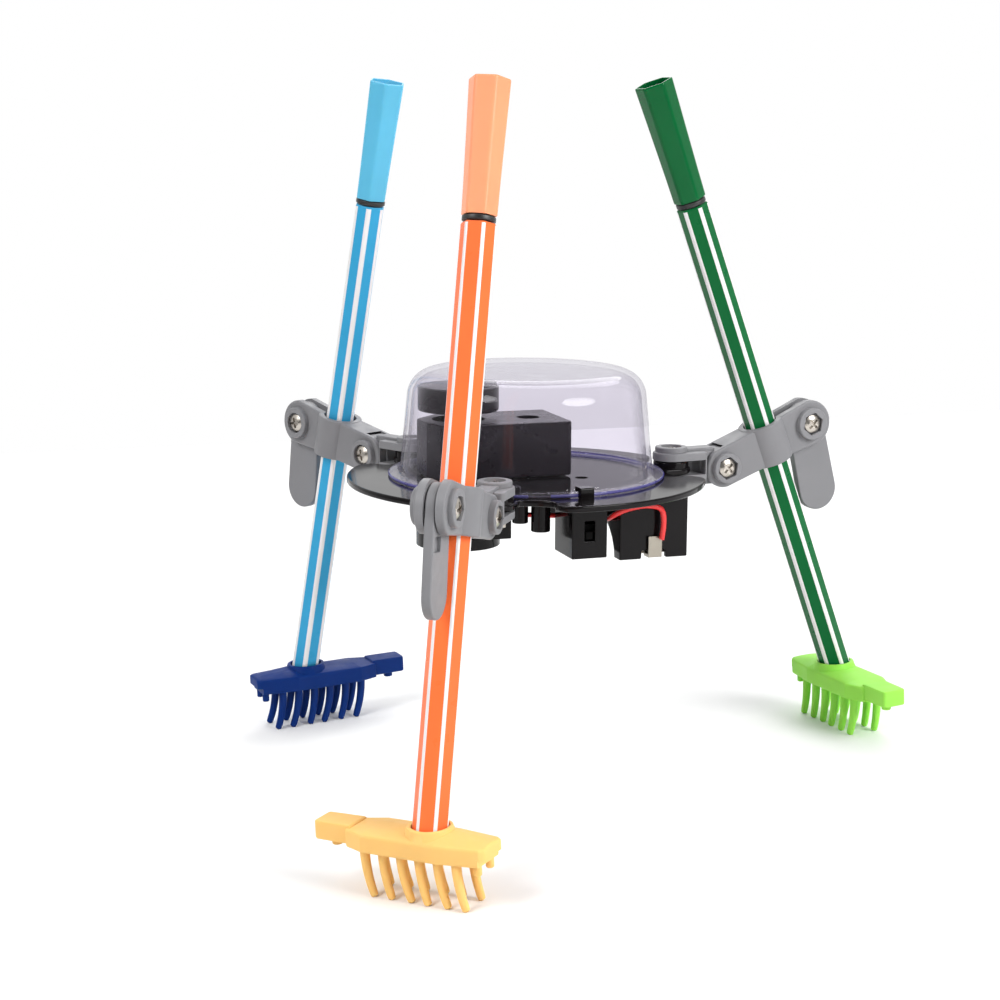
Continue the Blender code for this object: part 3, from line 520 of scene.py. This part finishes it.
def make_dome():
    """Clear cover: flange with two twist notches and a finger tab, tapered wall, rounded top."""
    wall_base, wall_top, edge = 30.7 * MM, 28.9 * MM, 6.6 * MM
    outer = [(0.0, DOME_TOP), (wall_top - edge, DOME_TOP)]
    outer += arc((wall_top - edge, DOME_TOP - edge), edge, 80, 4, 12)
    outer += rounded([(wall_base - 0.3 * MM, 5.0 * MM), (wall_base + 0.1 * MM, FLANGE_HIGH),
                      (FLANGE_R - 1.0 * MM, FLANGE_HIGH)], 1.0 * MM, 5, closed=False)
    outer += arc((FLANGE_R - 0.4 * MM, FLANGE_HIGH - 0.4 * MM), 0.4 * MM, 90, 0, 3)
    outer += arc((FLANGE_R - 0.4 * MM, FLANGE_LOW + 0.4 * MM), 0.4 * MM, 0, -90, 3)
    inner_r = edge - DOME_WALL
    inner = [(wall_base - DOME_WALL, FLANGE_LOW), (wall_base - DOME_WALL - 0.3 * MM, 5.0 * MM)]
    inner += arc((wall_top - edge, DOME_TOP - edge), inner_r, 4, 90, 10)
    inner += [(0.0, DOME_TOP - DOME_WALL)]
    tab_zs = (FLANGE_HIGH - 0.3 * MM, FLANGE_HIGH + 1.6 * MM)
    steps = [("+", block((30.2 * MM, 32.2 * MM), (-1.8 * MM, 1.8 * MM), tab_zs, 0.3 * MM,
                         turn("Z", FINGER_TAB)))]
    for angle in FLANGE_NOTCHES:
        steps.append(("-", block((32.0 * MM, 35.0 * MM), (-2.6 * MM, 2.6 * MM), (0.0, 3 * MM), 0.0,
                                 turn("Z", angle))))
    mesh = carve(lathe(outer + inner, steps=112), *steps)
    dome = piece("dome_shell", mesh, CHASSIS, "dome", [CLEAR, CLEAR_RIM], "dome_cover")
    for face in dome.data.polygons:
        if face.center.xy.length > FLANGE_R - 0.25 * MM:
            face.material_index = 1


# ---- legs ----------------------------------------------------------------------------
def make_arm(leg, matrix):
    """Fork over the plate's tab with its sunk screw boss, then a tongue for the clamp's lugs."""
    low, slot_low, slot_high, high = -3.1 * MM, -1.2 * MM, 2.45 * MM, 4.4 * MM
    half_w, fork_end, slot_end = 4.6 * MM, 8.1 * MM, 7.4 * MM
    tongue_start, tongue_y, tongue_z = 7.0 * MM, 2.25 * MM, 4.2 * MM
    far = 9 * MM
    outline = arc((0.0, 0.0), half_w, 90, 270, 28)
    outline += rounded([outline[-1], (fork_end, -half_w), (fork_end, half_w), outline[0]],
                       [0, MM, MM, 0], 4, closed=False)[1:-1]
    across = turn("X", 90)
    mesh = carve(slab(outline, low, high, 0.5 * MM),
                 ("+", drum(4.0 * MM, high - 0.4 * MM, high + 1.3 * MM, 0.35 * MM)),
                 ("-", block((-far, slot_end), (-far, far), (slot_low, slot_high), 0.0)),
                 ("+", block((tongue_start, TILT_X), (-tongue_y, tongue_y), (-tongue_z, tongue_z),
                             0.4 * MM)),
                 ("+", drum(4.8 * MM, -2.3 * MM, 2.3 * MM, 0.35 * MM, shift(TILT_X) @ across)),
                 ("+", block((2.0 * MM, TILT_X - 2.2 * MM), (-2.1 * MM, 2.1 * MM),
                             (high - 1.6 * MM, high + 0.7 * MM), 0.35 * MM)),
                 ("-", prism(SWIVEL_HOLE_R, 24, -6 * MM, 6 * MM)),
                 ("-", prism(2.6 * MM, 32, high - 0.6 * MM, high + 3 * MM)),
                 ("-", prism(PIN_HOLE_R, 24, -4 * MM, 4 * MM, shift(TILT_X) @ across)))
    piece(f"{leg}_arm_body", mesh, matrix, f"{leg}_arm", [GREY], f"{leg}_arm")
    make_screw(f"{leg}_swivel_screw_head", matrix @ shift(z=high + 0.2 * MM), 2.0, 1.4, 1.4, 8.6,
               f"{leg}_arm", f"{leg}_swivel_screw")


def make_clamp(leg, matrix, side):
    """Split strap round the pen, lugs for the arm and ears for the lever, screw heads at one side."""
    half_h, lug_y, ear_y = CLAMP_H / 2, 3.85 * MM, 3.4 * MM
    tilt_boss, lever_boss = 5.4 * MM, 4.8 * MM
    gap_y, split_y, recess_deep, far = 2.65 * MM, 1.4 * MM, 1.2 * MM, 9 * MM
    across, pen, lever = turn("X", 90), shift(PEN_X), shift(LEVER_X)
    lug = arc((0.0, 0.0), 5.1 * MM, 100, 260, 20)
    lug += [(PEN_X, -half_h + 0.1 * MM), (PEN_X, half_h - 0.1 * MM)]
    ear = arc((LEVER_X, 0.0), 5.9 * MM, -78, 78, 22)
    ear += [(PEN_X, half_h - 0.2 * MM), (PEN_X, -half_h + 0.2 * MM)]
    steps = [("+", slab(lug, -lug_y, lug_y, 0.6 * MM, across, 3)),
             ("+", slab(ear, -ear_y, ear_y, 0.5 * MM, across, 3)),
             ("+", drum(3.8 * MM, -tilt_boss, tilt_boss, 0.35 * MM, across, 40)),
             ("+", drum(4.1 * MM, -lever_boss, lever_boss, 0.35 * MM, lever @ across, 44)),
             ("-", prism(4.3 * MM, 60, -far, far, pen)),
             ("-", prism(5.4 * MM, 40, -gap_y, gap_y, across)),
             ("-", block((-7 * MM, 0.0), (-gap_y, gap_y), (-7 * MM, 7 * MM), 0.0)),
             ("-", block((PEN_X + 3 * MM, LEVER_X + 8 * MM), (-split_y, split_y),
                         (-8 * MM, 8 * MM), 0.0))]
    # the blue leg's screw recesses are round in the photo, the others hexagonal
    sides, radius = (40, 2.7 * MM) if leg == "blue" else (6, 2.95 * MM)
    for at, reach in ((Matrix(), tilt_boss), (lever, lever_boss)):
        steps.append(("-", prism(PIN_HOLE_R, 24, -7 * MM, 7 * MM, at @ across)))
        for sign in (1.0, -1.0):
            steps.append(("-", prism(radius, sides, reach - recess_deep, reach + MM,
                                     at @ turn("X", 90 * sign))))
    mesh = carve(drum(5.7 * MM, -half_h, half_h, 0.4 * MM, pen, 56), *steps)
    piece(f"{leg}_clamp_body", mesh, matrix, f"{leg}_clamp", [GREY], f"{leg}_clamp")
    for pin, at, reach in (("tilt", Matrix(), tilt_boss), ("lever", lever, lever_boss)):
        head_at = matrix @ at @ turn("X", -90 * side) @ shift(z=reach - 0.55 * MM)
        make_screw(f"{leg}_{pin}_screw_head", head_at, 2.35, 1.1, 1.3, 2 * reach / MM - 1.6,
                   f"{leg}_clamp", f"{leg}_{pin}_screw")


def make_lever(leg, matrix, side):
    """Flat cam tongue, rounded at both ends, with a shallow recess near its pin at one side."""
    half = LEVER_W / 2
    outline = arc((0.0, 0.0), 5.2 * MM, 0, 180, 28)
    outline += arc((0.0, half - LEVER_LENGTH), half, 180, 360, 28)
    recess_deep = 0.75 * MM
    recess = rounded([(0.4 * MM, -5.9 * MM), (0.4 * MM, -9.2 * MM), (4.2 * MM, -9.2 * MM),
                      (4.2 * MM, -5.9 * MM)], 0.3 * MM, 3)
    across = turn("X", 90)
    mesh = carve(slab(outline, -LEVER_T / 2, LEVER_T / 2, 0.35 * MM, across, 3),
                 ("-", prism(1.65 * MM, 24, -3 * MM, 3 * MM, across)),
                 ("-", slab(recess, *sorted((side * LEVER_T, side * (LEVER_T / 2 - recess_deep))),
                            0.0, across)))
    piece(f"{leg}_lever_tongue", mesh, matrix, f"{leg}_lever", [GREY], f"{leg}_lever")


def hexagon(radius, z, stripe, edge=0.45 * MM):
    """A ring of points round a hexagon with eased corners and a point where each stripe ends."""
    points, steps = [], 3
    for k in range(6):
        corner = Vector((radius, 0.0))
        inward = [Vector((math.cos(math.radians(a)), math.sin(math.radians(a)))) for a in (240, 120)]
        ease = [corner + inward[0] * edge, corner, corner + inward[1] * edge]
        local = [corner + inward[0] * stripe / 2]
        for i in range(steps + 1):
            t = i / steps
            local.append((1 - t) ** 2 * ease[0] + 2 * t * (1 - t) * ease[1] + t * t * ease[2])
        local.append(corner + inward[1] * stripe / 2)
        spin = Matrix.Rotation(math.radians(60.0 * k), 2)
        points += [(*(spin @ p), z) for p in local]
    return points


def make_pen(leg, matrix, stripe, ink, cap_ink):
    """Hexagonal barrel with a white stripe on each edge, black nib section, and flared open cap."""
    mouth = PEN_VISIBLE * (1 - CAP_SHARE)
    top = PEN_VISIBLE - mouth
    low, high = -3.0 * MM, mouth - 1.6 * MM
    barrel_ink = moulded(f"{leg}_ink", ink, 0.32, variation=0.06, grain=2200.0, strength=0.06, shine=0.1)
    sections = [hexagon(PEN_R - 0.25 * MM, low, stripe), hexagon(PEN_R, low + 0.3 * MM, stripe)]
    sections += [hexagon(PEN_R, low + (high - low) * t, stripe) for t in (0.25, 0.5, 0.75)]
    sections += [hexagon(PEN_R, high - 0.4 * MM, stripe), hexagon(PEN_R - 0.3 * MM, high, stripe)]
    barrel = piece(f"{leg}_barrel_body", loft(sections), matrix, f"{leg}_pen",
                   [barrel_ink, WHITE_INK], f"{leg}_pen_barrel")
    stripe_edge = math.hypot(PEN_R * math.cos(math.radians(30)), (PEN_R - stripe) / 2)
    for face in barrel.data.polygons:
        if abs(face.normal.z) < 0.5 and face.center.xy.length > stripe_edge:
            face.material_index = 1
    section = [(0.0, mouth + 20 * MM), (0.4 * MM, mouth + 20 * MM), (0.45 * MM, mouth + 17 * MM),
               (2.8 * MM, mouth + 12 * MM), (3.0 * MM, mouth), (3.7 * MM, mouth - 0.3 * MM),
               (3.7 * MM, mouth - 1.3 * MM), (0.0, mouth - 1.3 * MM)]
    piece(f"{leg}_section_body", lathe(rounded(section, 0.2 * MM, 3, closed=False), steps=40), matrix,
          f"{leg}_pen", [BLACK_WIRE], f"{leg}_pen_section")
    cap_plastic = moulded(f"{leg}_cap_plastic", cap_ink, 0.2, variation=0.05, strength=0.08, soft=0.12,
                          shine=0.15)
    rings = [(4.0, 0.0), (4.1, 0.15), (4.12, 0.6)]
    rings += [(4.1 + 0.7 * t ** 1.15, 0.6 + (top / MM - 1.1) * t) for t in (0.2, 0.4, 0.6, 0.8, 1.0)]
    rings += [(4.78, top / MM - 0.2), (4.6, top / MM), (4.35, top / MM), (4.2, top / MM - 0.25),
              (4.05, top / MM - 6.0), (3.6, top / MM - 6.2)]
    cap = carve(loft([hexagon(r * MM, z * MM, 1.6 * MM, 0.55 * MM) for r, z in rings]),
                ("-", prism(3.3 * MM, 32, -MM, 23.0 * MM)))
    piece(f"{leg}_cap_body", cap, matrix @ shift(z=mouth), f"{leg}_cap", [cap_plastic],
          f"{leg}_pen_cap")


def bristle(x, y, root_z, sweep, lean):
    """One bristle, straight at its root, swept towards its rounded tip on the ground."""
    steps, around = 10, 12
    sections = []
    spans = [(i / steps, 1.0) for i in range(steps)] + [(0.97, 0.92), (0.99, 0.6), (1.0, 0.25)]
    for t, share in spans:
        centre = Vector((x + sweep * t ** 2.2, y + lean * t * t, root_z * (1 - t)))
        ahead = Vector((2.2 * sweep * t ** 1.2, 2 * lean * t, -root_z)).normalized()
        side = Y.cross(ahead).normalized()
        other = ahead.cross(side)
        radius = BRISTLE_R * (1.14 - 0.26 * t) * share
        sections.append([centre + radius * (math.cos(a) * side + math.sin(a) * other)
                         for a in (2 * math.pi * k / around for k in range(around))])
    return loft(sections)


def foot_bar():
    """Bar whose flat sides carry a roof that climbs to the socket and falls to both ends."""
    corners = [(HEAD_X + 8.4 * MM, 3.9), (HEAD_X + 13.5 * MM, 6.0), (4.0 * MM, 6.0),
               (TAIL_X - 1.0 * MM, 4.5), (TAIL_X, 3.6)]
    corners = [(x, -y * MM) for x, y in corners] + [(x, y * MM) for x, y in reversed(corners)]
    plan = rounded(corners, 0.7 * MM, 3)
    levels = ((BAR_LOW, 0.95), (BAR_LOW + 0.3 * MM, 0.985), (BAR_LOW + 0.8 * MM, 1.0),
              (BAR_HIGH - 0.7 * MM, 1.0), (BAR_HIGH - 0.2 * MM, 0.975))
    sections = [[(x, y * share, z) for x, y in plan] for z, share in levels]
    for share, climb in ((0.93, 0.06), (0.70, 0.45), (0.45, 0.8), (0.2, 1.0)):
        roof = []
        for x, y in plan:
            away = min(1.0, max(0.0, (abs(x) - 3.0 * MM) / (15.0 * MM)))
            rise = (FOOT_TOP - BAR_HIGH) * climb * (1.0 - away)
            roof.append((x * (0.995 - 0.05 * (1 - share)), y * share, BAR_HIGH + rise))
        sections.append(roof)
    return loft(sections)


def make_foot(leg, matrix, socket, colour):
    """Soft foot: roofed bar, head block, stepped tail, coned socket, two bristle rows and pegs."""
    rubber = moulded(f"{leg}_rubber", colour, 0.48, grain=1100.0, depth=0.03 * MM, strength=0.3,
                     variation=0.07, soft=0.25, shine=0.12)
    head = rounded([(HEAD_X, -3.2 * MM), (HEAD_X + 9.3 * MM, -3.5 * MM), (HEAD_X + 9.3 * MM, 3.5 * MM),
                    (HEAD_X, 3.2 * MM)], [0.9 * MM, 0, 0, 0.9 * MM], 3)
    cone = [(0.0, FOOT_TOP + 0.5 * MM), (4.75 * MM, FOOT_TOP + 0.5 * MM),
            (4.95 * MM, FOOT_TOP + 0.4 * MM), (5.9 * MM, BAR_HIGH - 0.6 * MM),
            (0.0, BAR_HIGH - 0.6 * MM)]
    steps = [("+", slab(head, BAR_LOW + 0.3 * MM, BAR_HIGH + 0.6 * MM, 0.45 * MM)),
             ("+", lathe(cone, steps=48)),
             ("-", block((TAIL_X - 1.3 * MM, TAIL_X + MM), (-7 * MM, 7 * MM),
                         (BAR_LOW - MM, BAR_LOW + 1.7 * MM), 0.0))]
    pegs = ((HEAD_X + 3.8 * MM, 0.0, 1.2, 1.3), (TAIL_X - 2.4 * MM, -2.6 * MM, 0.9, 2.3),
            (TAIL_X - 2.4 * MM, 2.6 * MM, 0.9, 2.3))
    for x, y, radius, length in pegs:
        steps.append(("+", drum(radius * MM, BAR_LOW - length * MM, BAR_LOW + MM, 0.35 * MM,
                                shift(x, y), 24)))
    first = 8.0 * MM - (BRISTLES - 1) * BRISTLE_PITCH
    for side in (-1.0, 1.0):
        for i in range(BRISTLES):
            wobble = random.uniform(-0.35, 0.35) * MM
            steps.append(("+", bristle(first + i * BRISTLE_PITCH, side * BRISTLE_Y, BAR_LOW + 0.8 * MM,
                                       2.2 * MM + wobble, wobble / 2)))
    steps.append(("-", prism(PEN_R + 0.12 * MM, 40, -3.1 * MM, 8.0 * MM, socket)))
    piece(f"{leg}_foot_body", carve(foot_bar(), *steps), matrix, f"{leg}_foot",
          [rubber], f"{leg}_foot")


def make_leg(leg, foot_turn, hex_turn, side, recess_side, stripe, ink, cap_ink, foot_colour):
    across, axis = joint_axis(f"{leg}_tilt"), joint_axis(f"{leg}_pen_slide")
    up = joint_axis(f"{leg}_swivel")
    entry = joint_at(f"{leg}_foot_turn")
    clamp = basis(joint_at(f"{leg}_tilt"), axis, across.cross(axis))
    lever = basis(joint_at(f"{leg}_lever_turn"), axis, across.cross(axis)) @ turn("Y", LEVER_REST)
    pen = basis(entry, axis, across.cross(axis)) @ turn("Z", hex_turn)
    outward = math.degrees(math.atan2(-axis.y, -axis.x))
    foot = shift(entry.x, entry.y) @ turn("Z", outward + foot_turn)
    make_arm(leg, basis(joint_at(f"{leg}_swivel"), up, across.cross(up)))
    make_clamp(leg, clamp, side)
    make_lever(leg, lever, recess_side)
    make_pen(leg, pen, stripe, ink, cap_ink)
    make_foot(leg, foot, foot.inverted() @ pen, foot_colour)
    for pin in ("swivel", "tilt", "lever"):
        dress(f"{leg}_{pin}_nut", STEEL, 0.15 * MM)


# ---- stage ---------------------------------------------------------------------------
def lamp(name, place, target, size, power):
    light = bpy.data.lights.new(name, "AREA")
    light.shape = "DISK"
    light.size, light.energy = size, power
    obj = bpy.data.objects.new(name, light)
    bpy.context.scene.collection.objects.link(obj)
    obj.location = place
    obj.rotation_mode = "QUATERNION"
    obj.rotation_quaternion = (Vector(target) - Vector(place)).to_track_quat("-Z", "Y")


def make_stage():
    """White floor that meets a white world, and soft lamps."""
    bm = bmesh.new()
    bmesh.ops.create_grid(bm, x_segments=2, y_segments=2, size=FLOOR_HALF)
    floor = finished(bm)
    obj = bpy.data.objects.new("floor", floor)
    bpy.context.scene.collection.objects.link(obj)
    floor.materials.append(moulded("paper_white", (0.84, 0.84, 0.84), 0.9, variation=0.01,
                                   grain=300.0, strength=0.02))
    make_world()
    middle = (0.0, 0.0, 0.08)
    lamp("key", (-0.55, -0.45, 0.70), middle, 0.45, 4.8)
    lamp("fill", (0.60, -0.42, 0.42), middle, 0.46, 5.8)
    lamp("back", (0.10, 0.70, 0.65), middle, 0.6, 2.8)
    bpy.context.scene.view_settings.view_transform = "Standard"


def make_world():
    """White to the eye; its light and reflections come from behind and above the object."""
    world = bpy.data.worlds.new("studio")
    bpy.context.scene.world = world
    world.use_nodes = True
    tree = world.node_tree
    backdrop = tree.nodes["Background"]
    backdrop.inputs["Color"].default_value = (1.0, 1.0, 1.0, 1.0)
    backdrop.inputs["Strength"].default_value = 1.0
    place = tree.nodes.new("ShaderNodeVectorMath")
    place.operation = "DOT_PRODUCT"
    place.inputs[1].default_value = (0.0, 0.75, 0.65)
    tree.links.new(tree.nodes.new("ShaderNodeTexCoord").outputs["Generated"], place.inputs[0])
    graded = tree.nodes.new("ShaderNodeMapRange")
    for key, number in (("From Min", -0.45), ("From Max", 0.7), ("To Min", 0.06), ("To Max", 1.0)):
        graded.inputs[key].default_value = number
    tree.links.new(place.outputs["Value"], graded.inputs["Value"])
    glow = tree.nodes.new("ShaderNodeBackground")
    glow.inputs["Color"].default_value = (1.0, 1.0, 1.0, 1.0)
    tree.links.new(graded.outputs["Result"], glow.inputs["Strength"])
    choose = tree.nodes.new("ShaderNodeMixShader")
    tree.links.new(tree.nodes.new("ShaderNodeLightPath").outputs["Is Camera Ray"], choose.inputs[0])
    tree.links.new(glow.outputs["Background"], choose.inputs[1])
    tree.links.new(backdrop.outputs["Background"], choose.inputs[2])
    tree.links.new(choose.outputs["Shader"], tree.nodes["World Output"].inputs["Surface"])


def make_camera():
    """Seen from in front and a little above, as fitted to the pens and the plate; lens in mm."""
    dome_axis = joint_at("dome_twist")
    distance, height, pitch, yaw, roll, lens = 0.490, 0.165, 10.99, -0.77, -2.6, 73.7
    data = bpy.data.cameras.new("camera")
    data.lens, data.sensor_width = lens, 36.0
    obj = bpy.data.objects.new("camera", data)
    bpy.context.scene.collection.objects.link(obj)
    obj.matrix_world = (Matrix.Translation((dome_axis.x, dome_axis.y - distance, height))
                        @ turn("Z", -yaw) @ turn("X", 90.0 - pitch) @ turn("Z", roll))
    bpy.context.scene.camera = obj


make_plate()
make_housing()
make_weight()
make_dome()
for name, settings in LEGS.items():
    make_leg(name, *settings)
for node in ("battery_box", "switch_housing", "motor_cup"):
    dress(node, BLACK, 0.3 * MM)
dress("switch_slider", SLIDER, 0.2 * MM)
dress("motor_can", ZINC, 0.3 * MM)
dress("motor_shaft", STEEL)
for node in ("contact_front", "contact_rear"):
    dress(node, NICKEL, 0.1 * MM)
dress("contact_spring", NICKEL)
dress("wire_red", RED_WIRE)
dress("wire_black", BLACK_WIRE)
make_stage()
make_camera()
